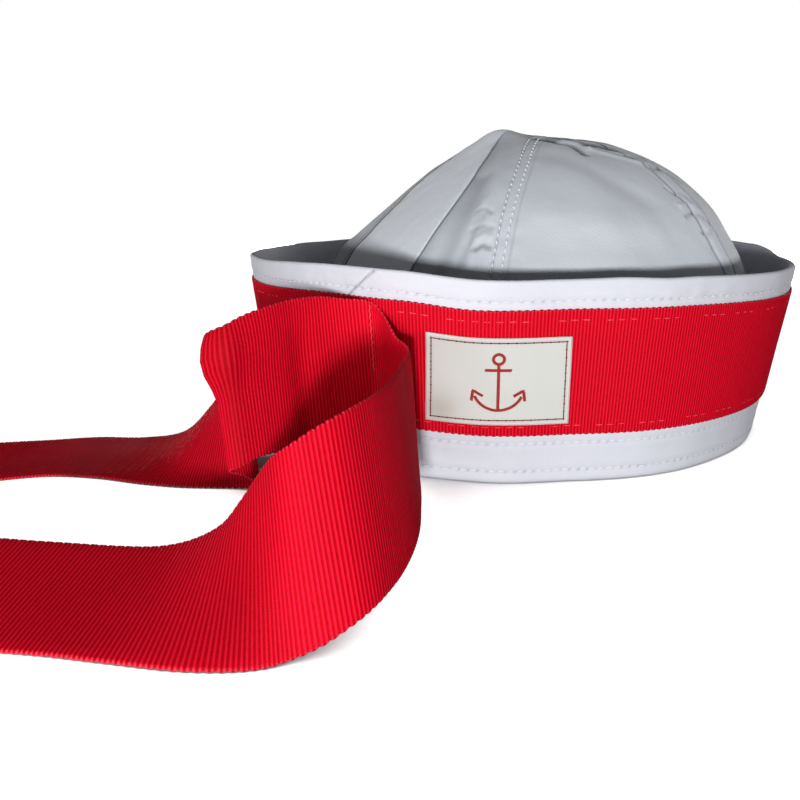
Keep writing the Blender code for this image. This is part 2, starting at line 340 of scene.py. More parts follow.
brim = {
    "baseRadius": 92.6, "rimRadius": 101.0, "height": 61.5, "wall": 2.0, "hemWidth": 4.0,
    "columns": 864,
    "stitchCount": 216,          # stitches in one turn
    "stitchHeights": (4.1, 12.9, 55.4),
    "foldHeight": 53.4,          # faint edge of the strip folded over the rim
    "stitchSink": 0.30,
    "joinTop": -20.2, "joinFoot": -26.8,   # angles of the slanting join in the top strip
}
brimWaves = [
    # angle, foot bulge, rim bulge, rise
    (-100.0, 0.0, 0.0, -1.0),
    (-61.0, 0.0, 0.0, 0.0),
    (-30.0, 1.0, 0.8, 1.9),
    (-17.0, 3.5, 2.2, 1.7),
    (-3.0, 2.8, 1.5, -0.5),
    (14.0, 0.0, -2.0, -0.1),
    (30.0, 1.0, -1.0, -0.2),
    (60.0, 0.3, 0.5, -1.3),
    (90.0, 0.0, 0.0, -1.3),
    (106.0, 0.0, 0.0, 1.8),
    (130.0, 0.0, 0.0, 2.5),
    (170.0, 0.0, 0.0, 0.0),
    (225.0, 0.0, 0.0, -1.0),
]


def brimPoint(angle, share, outward=0.0):
    # on the brim's outer face, a share of the way up, or that many millimetres outside it
    angle, share = np.asarray(angle, float), np.asarray(share, float)
    footBulge, rimBulge, rise = np.moveaxis(roundRow(brimWaves, angle), -1, 0)
    foot, rim = brim["baseRadius"] + footBulge, brim["rimRadius"] + rimBulge
    point = ringPoint(angle, foot + (rim - foot) * share + outward, (brim["height"] + rise) * share)
    return point * mm + capMiddle


def brimOut(angle):
    return unit(ringPoint(angle, 1.0, 0.0) - 0.14 * np.array((0.0, 0.0, 1.0)))


def brimRelief(angle, height):
    # how far the cloth sinks at its stitch rows and puckers beside them, in millimetres
    phase = angle / 360.0 * brim["stitchCount"] * 2.0 * math.pi
    relief = np.zeros(np.broadcast(angle, height).shape)
    for row in brim["stitchHeights"]:
        sink = ridge(height - row, 0.75)
        relief -= brim["stitchSink"] * sink * (0.75 - 0.25 * np.cos(phase))
        relief += 0.12 * ridge(np.abs(height - row) - 1.9, 1.2)
    relief -= 0.14 * ridge(height - brim["foldHeight"], 0.5)
    return relief


def brimShade(angle, height):
    # painted shade in the pits where each stitch enters the cloth, in a faint furrow along each row, and
    # along the fold line
    phase = angle / 360.0 * brim["stitchCount"] * 2.0 * math.pi
    shade = np.zeros(np.broadcast(angle, height).shape)
    for row in brim["stitchHeights"]:
        pit = (0.5 + 0.5 * np.cos(phase)) ** 3
        uneven = 0.6 + 0.4 * np.sin(np.floor(phase / math.pi / 2.0 + 0.5) * 5.3 + row)
        shade += ridge(height - row, 0.42) * (0.08 + 0.42 * pit * uneven)
    return shade + 0.12 * ridge(height - brim["foldHeight"], 0.35)


def makeBrim(material):
    columns = brim["columns"]
    height, wall = brim["height"], brim["wall"]
    section = [(0.0, -x, 0.0) for x in (brim["hemWidth"], 3.0, 2.0, 1.1)]     # share, outward, lift
    section.append((0.0, -0.35, 0.35))
    outer = np.concatenate([np.linspace(1.2, 9.0, 12), np.linspace(9.8, 16.2, 10),
                            np.linspace(18.5, 48.5, 10), np.linspace(50.5, 60.5, 17)])
    section += [(h / height, 0.0, 0.0) for h in outer]
    top = 60.5 / height
    for step in range(1, 8):
        turn = math.pi * step / 8
        section.append((top, -1.0 + math.cos(turn), math.sin(turn)))
    section += [(h / height, -wall, 0.0) for h in np.linspace(60.5, 3.4, 24)]
    section += [(0.0, -wall - 0.6, wall + 0.3), (0.0, -3.4, wall - 0.1), (0.0, -brim["hemWidth"], wall - 0.6),
                (0.0, -brim["hemWidth"] - 0.2, 0.8), (0.0, -brim["hemWidth"], 0.0)]
    share, outward, lift = np.array(section).T
    angle = np.linspace(0.0, 360.0, columns + 1)[:, None]
    base = brimPoint(angle, share[None], outward[None])
    relief = np.where((outward > -0.1) & (share > 0.0), brimRelief(angle, share * height), 0.0)
    # the slanting join shows as a fine sunk line with a slight ridge beside it
    joinShares = np.linspace(0.86, 1.0, 9)
    joinAngles = np.linspace(brim["joinFoot"], brim["joinTop"], 9)
    join = nearestOn(base, brimPoint(joinAngles, joinShares)) / mm
    onStrip = (share > 0.86) & (outward > -2.0)
    relief += np.where(onStrip, -0.35 * ridge(join, 0.35) + 0.14 * ridge(join - 1.1, 0.6), 0.0)
    # painted shade in the stitch pits and along the sunk join line
    shade = np.where((outward > -0.1) & (share > 0.0), brimShade(angle, share * height), 0.0)
    shade += np.where(onStrip, 0.75 * ridge(join, 0.30), 0.0)
    relief += 0.30 * roughness(base, 26 * mm, 3.0) + 0.10 * roughness(base, 6 * mm, 9.0)
    relief += 0.16 * roughness(base, 3.0 * mm, 5.0) * ridge(share * height - brim["stitchHeights"][-1], 3.5)
    points = brimPoint(angle, share[None], outward[None] + relief)
    sway = 0.35 * roughness(base, 17 * mm, 13.0) * softStep(0.8, 1.0, share)[None]
    points[..., 2] += (lift[None] + sway) * mm
    points[-1] = points[0]
    points[..., 2] = np.maximum(points[..., 2], 0.0)
    points[:, -1] = points[:, 0]
    around = np.radians(angle) * brim["rimRadius"] * mm + 0.0 * share
    down = lengthAlong(points[0])
    uv = np.stack([around, np.broadcast_to(down, around.shape)], -1)
    piece = clothMesh("brim_cloth", points, uv, shade)
    return finishPiece(piece, material, ["brim"])


def brimRow(angle, share, sway, outward):
    # a row of stitches round the brim, swaying a little up and down
    along = brimPoint(angle + 0.4, share) - brimPoint(angle - 0.4, share)
    return brimPoint(angle, share + sway, outward), along, brimOut(angle)


def makeBrimStitches(material):
    count = brim["stitchCount"]
    angle = (np.arange(count) + 0.5) * 360.0 / count
    wobble = 0.25 * np.sin(np.arange(count) * 2.3) * 0.3
    rows = [brimRow(angle, row / brim["height"], wobble / brim["height"], -0.20)
            for row in brim["stitchHeights"]]
    return stitchRows("brim_stitches", rows, 2.3 * mm, 0.55 * mm, material)


crown = {
    "columns": (150, 150, 90, 90, 90, 90), "rows": (180, 180, 110, 110, 110, 110), "wall": 1.2,
    "peak": (-8.0, -12.0), "peakRise": 4.0, "peakSpread": 7.0,
    "leftFold": -88.0, "facetBulge": 2.0,
    # roundShade is the painted shade over the crown's rounded cloth
    "foldDrop": 0.7, "foldReach": 5.0, "foldGroove": 0.35, "roundShade": 0.40,
    "stitchPitch": 2.7,
}
crownSeams = [
    # side and width of the felled strip, its raise, depth of the seam line, depth of the far edge,
    # painted shade of the seam line and of the far edge, width of that painted shade, stitch lift,
    # then the two stitch rows' places
    (-1.0, 4.6, 0.10, 0.50, 0.20, 1.00, 0.25, 1.10, -0.60, 0.9, 3.9),
    (1.0, 4.6, 0.22, 0.00, 0.10, 0.10, 0.10, 0.50, 0.06, 0.1, 3.3),
    (1.0, 10.0, 0.10, 0.45, 0.50, 0.85, 0.75, 0.70, -0.60, 0.9, 9.3),
] + 3 * [(1.0, 4.6, 0.40, 0.35, 0.35, 0.30, 0.25, 0.50, -0.02, 0.9, 3.9)]        # the seams at the back
crownSections = [
    # full radius, full height, slack radius, slack height, middle, facet
    (90.0, 2.3, 90.0, 2.3, 0.0, 0.0),
    (91.0, 20.0, 87.0, 18.0, 0.0, 0.1),
    (90.0, 40.0, 79.5, 38.0, 0.0, 0.6),
    (85.2, 57.0, 69.0, 60.0, 0.0, 1.0),
    (79.6, 67.7, 61.3, 67.3, -0.2, 1.0),
    (71.8, 79.6, 50.2, 76.5, -0.5, 1.0),
    (58.0, 91.2, 38.6, 85.6, -0.9, 1.0),
    (39.0, 99.8, 26.6, 94.0, -1.5, 1.0),
    (21.5, 102.6, 14.5, 101.0, 0.0, 0.6),
    (1.5, 104.0, 1.5, 104.0, 5.0, 0.0),
]
crownFullness = [
    # angle, share
    (-88.0, 0.00), (-21.0, 0.65), (-12.0, 0.60), (-3.0, 0.72), (30.0, 0.90), (60.0, 0.97),
    (98.0, 1.00), (130.0, 0.92), (177.0, 0.75), (220.0, 0.50), (250.0, 0.12),
]
frontFold = [
    # angle of the crisp fold at each section, from the foot up
    (-22.0,), (-22.0,), (-22.0,), (-22.3,), (-20.3,), (-16.8,), (-13.6,), (-11.5,), (-14.0,), (-18.0,),
]
seamPaths = [
    # left front, front, right front, right back, back, left back
    (-71.0, -3.0, 56.0, 117.0, 177.0, 237.0),
    (-71.5, -3.2, 56.0, 117.0, 177.0, 237.0),
    (-75.0, 2.4, 55.5, 119.0, 178.0, 235.0),
    (-82.0, 24.0, 66.0, 124.0, 180.0, 230.0),
]
gores = ["crown_gore_front_left", "crown_gore_front_right", "crown_gore_right",
         "crown_gore_back_right", "crown_gore_back_left", "crown_gore_left"]
creases = [
    # width, height in millimetres (sunk if below 0), painted shade in the crease, then angle and section
    # along it
    (3.4, -1.1, 0.15, [(-9.5, 6.0), (-12.5, 4.9), (-14.0, 4.0), (-15.0, 3.0), (-15.5, 2.4)]),
    (1.6, -0.7, 0.08, [(-7.0, 4.9), (-9.0, 4.3), (-10.5, 3.8), (-11, 3.2)]),
    (0.9, 0.40, 0.00, [(-7.0, 5.3), (-7.4, 4.9), (-8.0, 4.0), (-8.0, 3.4)]),
    (1.0, -0.50, 0.32, [(-7.4, 3.95), (-5.6, 4.08), (-3.8, 4.02)]),
    (1.1, 0.40, 0.00, [(-7.0, 4.25), (-5.2, 4.35), (-3.8, 4.3)]),
    (0.7, -0.45, 0.18, [(-8.0, 5.0), (-6.0, 5.05), (-4.0, 4.95)]),
    (0.9, -0.35, 0.12, [(-9.0, 4.5), (-6.5, 4.6), (-3.5, 4.55)]),
    (2.2, -1.2, 1.1, [(22.0, 7.85), (25.0, 7.65), (28.0, 7.5)]),
    (1.3, -1.3, 0.90, [(26.0, 7.45), (29.0, 7.2), (33.0, 7.1), (34.5, 6.95), (34.0, 6.6)]),
    (1.6, 0.6, 0.00, [(29.0, 7.7), (34.5, 7.35), (39.0, 7.1), (40.0, 6.8)]),
    (2.6, -1.3, 1.2, [(45.0, 7.3), (48.0, 7.1), (52.0, 7.05), (55.0, 6.85), (60.0, 6.8)]),
    (1.2, -0.9, 0.80, [(41.0, 6.95), (47.0, 6.70), (53.0, 6.50), (60.0, 6.45)]),
    (1.5, 0.7, 0.00, [(40.0, 6.75), (48.0, 6.50), (56.0, 6.20)]),
    (1.1, -0.8, 0.75, [(57.0, 6.05), (61.0, 6.1), (66.0, 6.0), (70.0, 5.7)]),
    (0.9, -0.6, 0.60, [(65.0, 6.6), (66.0, 6.35), (68.0, 6.2)]),
    (0.8, -0.5, 0.35, [(52.0, 5.5), (54.5, 5.3), (58.0, 5.35), (61.0, 5.0)]),
    (0.8, -0.5, 0.35, [(51.0, 4.75), (54.0, 4.8), (59.0, 4.7), (63.0, 4.4)]),
    (0.8, 0.45, 0.00, [(51.0, 5.0), (54.0, 5.05), (59.0, 5.0)]),
    (0.8, -0.45, 0.20, [(54.0, 4.3), (57.0, 4.25), (61.0, 4.35)]),
    (5.0, -0.6, 0.00, [(20.0, 6.6), (30.0, 6.0), (40.0, 5.2)]),
    (6.0, 0.5, 0.00, [(10.0, 5.0), (24.0, 4.6), (38.0, 4.4)]),
]


pole = len(crownSections) - 1.0       # the place where all the gores meet


def crownMeridian(angle, place):
    fullR, fullZ, slackR, slackZ, middle, _ = np.moveaxis(smoothRow(crownSections, place), -1, 0)
    fullness = roundRow(crownFullness, angle)[..., 0]
    point = ringPoint(angle, slackR + (fullR - slackR) * fullness, slackZ + (fullZ - slackZ) * fullness)
    point[..., 0] += middle
    offPeak = np.hypot(point[..., 0] - crown["peak"][0],
                       point[..., 1] - crown["peak"][1]) / crown["peakSpread"]
    point[..., 2] += crown["peakRise"] * np.exp(-0.5 * offPeak ** 2)
    return point


def crownPoint(angle, place):
    # the crown's outer face, with the flat facet between its two folds, in metres
    angle, place = np.broadcast_arrays(np.asarray(angle, float), np.asarray(place, float))
    angle = (angle + 180.0) % 360.0 - 180.0
    point = crownMeridian(angle, place)
    left, right = crown["leftFold"], smoothRow(frontFold, place)[..., 0]
    share = (angle - left) / (right - left)
    flatness = smoothRow(crownSections, place)[..., 5] * ((share > 0.0) & (share < 1.0))
    start, end = crownMeridian(np.full_like(place, left), place), crownMeridian(right, place)
    chord = start + (end - start) * share[..., None]
    chord += unit(ringPoint(angle, 1.0, 0.0)) * (crown["facetBulge"] * 4.0 * share * (1.0 - share))[..., None]
    point = point + (chord - point) * flatness[..., None]
    return point * mm + capMiddle


def crownNormal(angle, place):
    across = crownPoint(angle + 0.3, place) - crownPoint(angle - 0.3, place)
    up = crownPoint(angle, np.minimum(place + 0.03, pole)) - crownPoint(angle, np.maximum(place - 0.03, 0.0))
    return unit(np.cross(across, up))


def seamAngle(index, place):
    turn, seam = divmod(index, 6)
    return smoothRow(seamPaths, np.asarray(place, float) / 3.0)[..., seam] + 360.0 * turn


def goreAngles(index, place):
    # angles across a gore, close together at its seam lines and at the front fold
    start, end = seamAngle(index, place), seamAngle(index + 1, place)
    angle = start + (end - start) * np.linspace(0.0, 1.0, 500)[:, None]
    radius = np.maximum(np.linalg.norm((crownPoint(angle, place) - capMiddle)[..., :2], axis=-1) / mm, 3.0)
    strips = [crownSeams[seam % 6][1] for seam in (index, index + 1)]
    lines = [start, end, start + np.degrees(strips[0] / radius), end - np.degrees(strips[1] / radius)]
    if index == 0:
        lines.append(smoothRow(frontFold, place)[..., 0])
    crowd = 1.0 + sum(9.0 * ridge(np.radians(angle - line) * radius, 1.0) for line in lines)
    total = np.cumsum(crowd, axis=0)
    total = (total - total[:1]) / (total[-1:] - total[:1])
    share = np.linspace(0.0, 1.0, crown["columns"][index] + 1)
    return np.stack([np.interp(share, total[:, i], angle[:, i]) for i in range(angle.shape[1])], axis=1)


def seamRelief(distance, seam, side):
    # height and painted shade of the cloth beside a seam, on the side with the felled strip or the other
    stripSide, strip, raised, lineDepth, edgeDepth, lineShade, edgeShade, wide = crownSeams[seam % 6][:8]
    relief, shade = -lineDepth * ridge(distance, 0.45), lineShade * ridge(distance, wide)
    if side == stripSide:
        relief += raised * (softStep(0.0, 0.6, distance) - softStep(strip, strip + 0.8, distance))
        relief -= edgeDepth * ridge(distance - strip - 0.3, 0.5)
        shade = shade + edgeShade * ridge(distance - strip - 0.3, wide)
        relief -= 0.15 * sum(ridge(distance - row, 0.5) for row in crownSeams[seam % 6][9:])
    return relief, shade


def makeGore(index, material):
    name = gores[index]
    place = (np.linspace(0.0, 1.0, crown["rows"][index] + 1) * pole)[None]
    angle = goreAngles(index, place)
    points, out = crownPoint(angle, place), crownNormal(angle, place)
    line = np.linspace(0.0, pole, 240)
    leftSeam = nearestOn(points, crownPoint(seamAngle(index, line), line)) / mm
    rightSeam = nearestOn(points, crownPoint(seamAngle(index + 1, line), line)) / mm
    narrow = softStep(pole, 8.0, place)            # the strips die out at the pole
    relief, shade = seamRelief(leftSeam, index, 1.0)
    reliefRight, shadeRight = seamRelief(rightSeam, index + 1, -1.0)
    relief, shade = (relief + reliefRight) * narrow, (shade + shadeRight) * narrow
    near = ridge(leftSeam - 2.5, 5.5) + ridge(rightSeam, 5.5)
    relief += 0.26 * near * roughness(points, 5.5 * mm, 21.0) * narrow
    if index == 0:
        # a crisp fold: the cloth beyond it lies lower and rises slowly again
        fold = crownPoint(smoothRow(frontFold, line)[..., 0], line)
        away = nearestOn(points, fold) / mm
        beyond = softStep(-0.4, 0.7, (angle - smoothRow(frontFold, place)[..., 0]) * 1.2)
        fade = softStep(8.6, 7.2, place)
        relief -= fade * (crown["foldDrop"] * beyond * np.exp(-away / crown["foldReach"])
                          + crown["foldGroove"] * ridge(away, 0.35))
        # painted shade along the fold and on the lower cloth just beyond it
        shade += fade * (0.62 * ridge(away, 0.38) + 0.26 * beyond * np.exp(-away / 4.5))
    for width, height, dark, path in creases:
        spots = smoothRow(path, np.linspace(0.0, len(path) - 1, 6 * len(path)))
        away = nearestOn(points, crownPoint(spots[:, 0], spots[:, 1])) / mm
        relief += height * ridge(away, width)
        # painted shade in the sunk creases and puckers
        shade += dark * ridge(away, 0.8 * width)
    relief += 0.55 * roughness(points, 30 * mm, 31.0) + 0.14 * roughness(points, 9 * mm, 41.0)
    relief *= softStep(0.0, 0.5, place)
    # painted light and shade: the rounded cloth gets painted shade and the flat facet is spared it, as if the
    # facet takes the light more fully than the rounded cloth
    onFacet = 1.0 - softStep(-0.3, 0.3, angle - smoothRow(frontFold, place)[..., 0]) if index == 0 else 0.0
    shade += crown["roundShade"] * (1.0 - onFacet)
    # and the cloth on both sides of the right-hand seam gets less of it, as painted light
    if index in (1, 2):
        beside = np.exp(-leftSeam / 30.0) * 0.38 if index == 2 else np.exp(-rightSeam / 20.0) * 0.28
        shade -= beside * softStep(7.5, 6.0, place)
    points = points + out * (relief * mm)[..., None]
    poleMiddle = np.array((crownSections[-1][4], 0.0, 0.0)) * mm
    points[:, -1] = (crownPoint(0.0, pole) * np.array((0.0, 0.0, 1.0)) + poleMiddle
                     + capMiddle * np.array((1.0, 1.0, 0.0)))
    across = np.concatenate([np.zeros((1, angle.shape[1])),
                             np.cumsum(np.linalg.norm(np.diff(points, axis=0), axis=-1), axis=0)])
    middle = points.shape[0] // 2
    up = lengthAlong(points[middle])
    uv = np.stack([across - across[middle:middle + 1], np.broadcast_to(up, angle.shape)], -1)
    piece = clothMesh(name.replace("crown_gore", "crown_cloth"), points, uv, shade)
    faceOut(piece)
    wallOf(piece, crown["wall"] * mm, -1.0)
    return finishPiece(piece, material, [name])


def faceOut(piece):
    # an open sheet has no inside, so its faces are turned to point away from the cap's middle
    face = piece.data.polygons[len(piece.data.polygons) // 3]
    away = face.center - Vector(capMiddle + np.array((0.0, 0.0, 30.0)) * mm)
    if face.normal.dot(away) < 0.0:
        piece.data.flip_normals()


def makeCrownStitches(material):
    rows = []
    for index, (side, _, raised, _, _, _, _, _, lift, *offsets) in enumerate(crownSeams):
        line = np.linspace(0.6, 6.5 if index == 2 else 7.75, 400)
        for offset in offsets:
            seam = seamAngle(index, line)
            radius = np.linalg.norm((crownPoint(seam, line) - capMiddle)[:, :2], axis=1)
            angle = seam + side * np.degrees(offset * mm / np.maximum(radius, 4 * mm))
            path = crownPoint(angle, line)
            length = lengthAlong(path)
            spots = np.arange(1.5, length[-1] / mm, crown["stitchPitch"]) * mm
            row, turn = np.interp(spots, length, line), np.interp(spots, length, angle)
            out = crownNormal(turn, row)
            rows.append((crownPoint(turn, row) + out * (raised + lift) * mm,
                         crownPoint(turn, row + 0.02) - crownPoint(turn, row - 0.02), out))
    return stitchRows("crown_stitches", rows, 1.8 * mm, 0.70 * mm, material)


ribbon = {
    "width": 38.0, "halfThick": 0.25,
    "ribPitch": 1.04, "ribHeight": 0.20, "stations": 4,     # mesh columns for each rib
    "scallop": 0.32,             # two ribs share one scallop of the edge
}
band = {
    "foot": 0.254, "top": 0.862, "ribs": 616, "offBrim": 0.50,
    "shade": 0.13, "farShade": 0.27, "farAngle": 80.0,      # painted shade all round, and more painted shade on the right side
}
bandStitches = {"pitch": 3.4, "heights": (0.300, 0.812), "radius": 98.0}


def ribRelief(along):
    # half thickness beyond the flat ribbon along its length, in millimetres
    rib = along / ribbon["ribPitch"]
    uneven = 1.0 + 0.18 * np.sin(np.floor(rib) * 12.9898) * np.sin(np.floor(rib) * 4.1)
    return ribbon["ribHeight"] * np.abs(np.sin(math.pi * rib)) ** 0.8 * uneven


def scallopOut(along):
    pair = along / ribbon["ribPitch"] / 2.0
    return ribbon["scallop"] * (np.abs(np.sin(math.pi * pair)) ** 0.7 - 0.35)


def ribbonSection(across):
    # rows round the ribbon's section: place across it, side of it, share of its thickness, share of scallop
    edge = {0: (0.0, 1.0), 1: (0.75, 0.85), 2: (1.0, 0.3)}
    last = len(across) - 1
    rows = []
    for side, order in ((1.0, range(0, last + 1)), (-1.0, range(last - 1, 0, -1))):
        for i in order:
            thick, wave = edge.get(min(i, last - i), (1.0, 0.0))
            rows.append((across[i], side, thick, wave * (-1.0 if i < last / 2 else 1.0)))
    rows.append(rows[0])
    return np.array(rows).T


def makeBand(material):
    across = np.array((0.0, 0.3, 0.85, 4, 9, 14, 19, 24, 29, 34, 37.15, 37.7, 38.0))
    v, side, thick, wave = ribbonSection(across)
    columns = band["ribs"] * ribbon["stations"]
    angle = np.linspace(0.0, 360.0, columns + 1)[:, None]
    along = np.linspace(0.0, band["ribs"], columns + 1)[:, None] * ribbon["ribPitch"]
    reach = ribbon["width"] / (band["top"] - band["foot"])
    share = band["foot"] + (v + wave * scallopOut(along)) / reach
    half = thick * (ribbon["halfThick"] + ribRelief(along))
    lumps = 0.16 * roughness(brimPoint(angle, share), 22 * mm, 51.0)
    points = brimPoint(angle, share, band["offBrim"] + side * half + lumps)
    points[-1] = points[0]
    uv = np.stack([along * mm + 0.0 * share, np.broadcast_to(v, share.shape) * mm], -1)
    # painted shade over the band, deepest on the right side around farAngle
    shade = band["shade"] + band["farShade"] * ridge(angle - band["farAngle"], 24.0) + 0.0 * share
    piece = clothMesh("band_ribbon", points, uv, shade)
    return finishPiece(piece, material, ["hat_band"])


def makeBandStitches(material):
    rows = []
    for share in bandStitches["heights"]:
        count = int(2.0 * math.pi * bandStitches["radius"] / bandStitches["pitch"])
        angle = np.arange(count) * 360.0 / count
        angle = angle[np.sin(np.arange(count) * 7.7) > -0.55]       # some sink between the ribs
        slope = 0.0012 * np.sin(np.arange(len(angle)) * 1.7)
        rows.append(brimRow(angle, share, slope, band["offBrim"] + 0.36))
    return stitchRows("band_stitches", rows, 2.3 * mm, 0.32 * mm, material)


tails = {
    "stitchAngle": -21.5, "offBrim": 1.45,
    "ground": 0.5,               # the middle of the ribbon above the floor where it lies
    "dentPlace": 17.15, "dent": 1.3,
    # painted shade over the whole ribbon, then darker and paler parts painted in for the light: place along
    # the ribbon and across it, their reach, then the painted shade
    "shade": 0.04,
    "shades": [
        (13.9, 22.0, 0.8, 40.0, 0.40), (35.6, 12.0, 1.3, 16.0, 0.38), (28.7, 8.0, 1.6, 18.0, -0.04),
        (32.0, 20.0, 1.5, 16.0, 0.10), (6.2, 8.0, 1.3, 14.0, 0.34), (25.6, 32.0, 0.9, 10.0, 0.25),
        (1.5, 8.0, 1.6, 9.0, 0.20),
    ],
    "lowPlace": 16.2, "low": 2.6,    # the lower edge hangs a little further down here
}
frontTail = [
    # x, y, z of the lower edge, lean towards, steepness, and bow to the side where there is one
    (-30.0, -100.8, 13.0, -135, 82),
    (-25.7, -106.0, 9.8, -124, 79),
    (-23.3, -112.0, 7.6, -150, 82),
    (-21.3, -119.0, 6.4, -165, 85),
    (-19.4, -127.5, 5.8, 170, 85),
    (-17.5, -140.5, 5.8, 140, 79),
    (-16.0, -154.0, 6.2, 135, 76),
    (-15.4, -168.0, 6.8, 137, 76),
    (-16.0, -181.5, 7.4, 137, 76),
    (-17.8, -192.5, 7.6, 134, 74),
    (-20.2, -198.6, 6.8, 134, 73),
    (-23.4, -202.0, 5.2, 133, 72),
    (-27.2, -204.2, 3.0, 129, 71),
    (-32.0, -206.0, 1.0, 118, 66),
    (-37.5, -208.8, 0.0, 108, 49),
    (-44.5, -211.0, 0.0, 102, 33),
    (-54.5, -212.0, 0.0, 95, 20),
    (-68.0, -211.5, 0.0, 91, 11),
    (-84.0, -211.0, 0.0, 91, 8),
    (-112.0, -212.0, 0.0, 94, 9),
]
backTail = [
    (-41.0, -101.5, 16.2, -152, 84),
    (-47.5, -107.0, 17.2, -172, 85),
    (-53.5, -115.0, 17.2, 172, 85),
    (-58.5, -123.5, 16.3, 164, 85, 0.6),
    (-63.0, -130.5, 14.5, 172, 84, 1.6),
    (-66.5, -133.8, 12.5, 170, 84, 2.8),
    (-70.3, -133.0, 10.5, 159, 83, 3.2),
    (-71.2, -129.0, 8.5, 154, 81, 2.8),
    (-69.2, -126.0, 6.8, 148, 78, 1.6),
    (-67.0, -123.8, 4.5, 144, 77, 0.6),
    (-66.4, -120.6, 2.0, 139, 76),
    (-69.4, -118.4, 0.5, 122, 72),
    (-75.5, -117.8, 0.0, 103, 62),
    (-83.0, -118.6, 0.0, 95, 43),
    (-92.0, -119.3, 0.0, 93, 24),
    (-104.0, -118.5, 0.0, 91, 8),
    (-119.0, -116.0, 0.0, 92, 2),
    (-134.0, -116.5, 0.0, 95, 1),
    (-148.0, -123.0, 0.0, 100, 1),
    (-162.0, -133.5, 0.0, 105, 3),
]


def tailRows():
    # each row: the rib's lower end and direction, then its bow; back tail's end first, front tail's last
    def ribRow(x, y, z, lean, steepness, bow=0.0):
        level, turn = math.cos(math.radians(steepness)), math.radians(lean)
        rib = (level * math.cos(turn), level * math.sin(turn), math.sin(math.radians(steepness)))
        lower = (np.array((x, y, z + tails["ground"])) * mm + capMiddle) / mm
        return (*lower, *rib, bow)
    foot = brimPoint(tails["stitchAngle"], band["foot"], tails["offBrim"]) / mm
    up = unit(brimPoint(tails["stitchAngle"], band["top"], tails["offBrim"]) / mm - foot)
    rows = [ribRow(*row) for row in backTail[::-1]] + [(*foot, *up, 0.0)]
    rows += [ribRow(*row) for row in frontTail]
    return rows, len(backTail)


tailTable, stitchPlace = tailRows()


def tailRib(place):
    row = smoothRow(tailTable, place)
    return row[..., :3], unit(row[..., 3:6]), row[..., 6]


def tailLengths():
    # places along the table and the ribbon's length up to them, on its middle line
    place = np.linspace(0.0, len(tailTable) - 1, 6000)
    lower, rib, _ = tailRib(place)
    return place, lengthAlong(lower + rib * ribbon["width"] / 2)


def tailPoint(place, v):
    # the middle of the ribbon's thickness, v millimetres up from its lower edge, in millimetres
    lower, rib, bow = tailRib(place)
    ahead = tailRib(np.minimum(place + 0.02, len(tailTable) - 1))[0]
    behind = tailRib(np.maximum(place - 0.02, 0.0))[0]
    out = unit(np.cross(ahead - behind, rib))
    share = v / ribbon["width"]
    arch = np.sin(math.pi * np.clip((share - 0.55) / 0.5, 0.0, 1.0)) * bow
    return lower + rib * v[..., None] + out * arch[..., None], out


def makeTails(material):
    across = np.array((0.0, 0.3, 0.85, 3.5, 7, 11, 15, 19, 23, 27, 31, 34.5, 37.15, 37.7, 38.0))
    v, side, thick, wave = ribbonSection(across)
    places, lengths = tailLengths()
    ribs = int(lengths[-1] / ribbon["ribPitch"])
    columns = ribs * ribbon["stations"]
    along = np.linspace(0.0, ribs * ribbon["ribPitch"], columns + 1)
    place = np.interp(along, lengths, places)[:, None]
    along = along[:, None]
    scallops = wave * scallopOut(along)
    hang = tails["low"] * ridge(place - tails["lowPlace"], 0.85) * (1.0 - v / ribbon["width"])
    middle, out = tailPoint(place + 0.0 * v, v + scallops - hang)
    half = thick * (ribbon["halfThick"] + ribRelief(along)) * side
    loose = softStep(0.0, 1.5, np.abs(place - stitchPlace))
    half = half + 0.22 * roughness(middle * mm, 19 * mm, 61.0) * loose
    half -= tails["dent"] * ridge(place - tails["dentPlace"], 0.45) * softStep(34.0, 24.0, v)
    points = (middle + out * half[..., None]) * mm
    points[..., 2] = np.maximum(points[..., 2], 0.03 * mm)
    uv = np.stack([along * mm + 0.0 * v, np.broadcast_to(v, half.shape) * mm], -1)
    # painted shade and painted light along the ribbon
    shade = tails["shade"] + sum(dark * ridge(place - spot, reach) * ridge(v - middle, wide)
                                 for spot, middle, reach, wide, dark in tails["shades"])
    piece = clothMesh("tail_ribbon", points, uv, shade + 0.0 * half)
    bpy.ops.object.mode_set(mode="EDIT")
    bpy.ops.mesh.select_all(action="DESELECT")
    bpy.ops.mesh.select_non_manifold(extend=False, use_wire=False, use_multi_face=False,
                                     use_non_contiguous=False, use_verts=False)
    bpy.ops.mesh.fill()                                  # the cut ends
    bpy.ops.mesh.select_all(action="SELECT")
    bpy.ops.mesh.normals_make_consistent(inside=False)
    bpy.ops.object.mode_set(mode="OBJECT")
    piece = finishPiece(piece, material, ["ribbon_tail_front", "ribbon_tail_back"])
    return piece, lengths[-1] * mm


def makeTailStitches(material):
    # a zigzag row across the ribbon where it is sewn to the band
    v = np.arange(17.6, 36.6, 1.05)
    zigzag = np.where(np.arange(len(v)) % 2 == 0, 0.45, -0.45) / 11.0
    place = stitchPlace + zigzag * 0.5
    spot, out = tailPoint(place + 0.0 * v, v)
    ahead, _ = tailPoint(place - zigzag, v + 0.9)
    lift = ribbon["halfThick"] + ribbon["ribHeight"] - 0.02
    towards = np.sign((out * ringPoint(np.full(len(v), tails["stitchAngle"]), 1.0, 0.0)).sum(-1))[:, None]
    row = ((spot + out * towards * lift) * mm, ahead - spot, out * towards)
    return stitchRows("tail_stitches", [row], 1.25 * mm, 0.34 * mm, material)


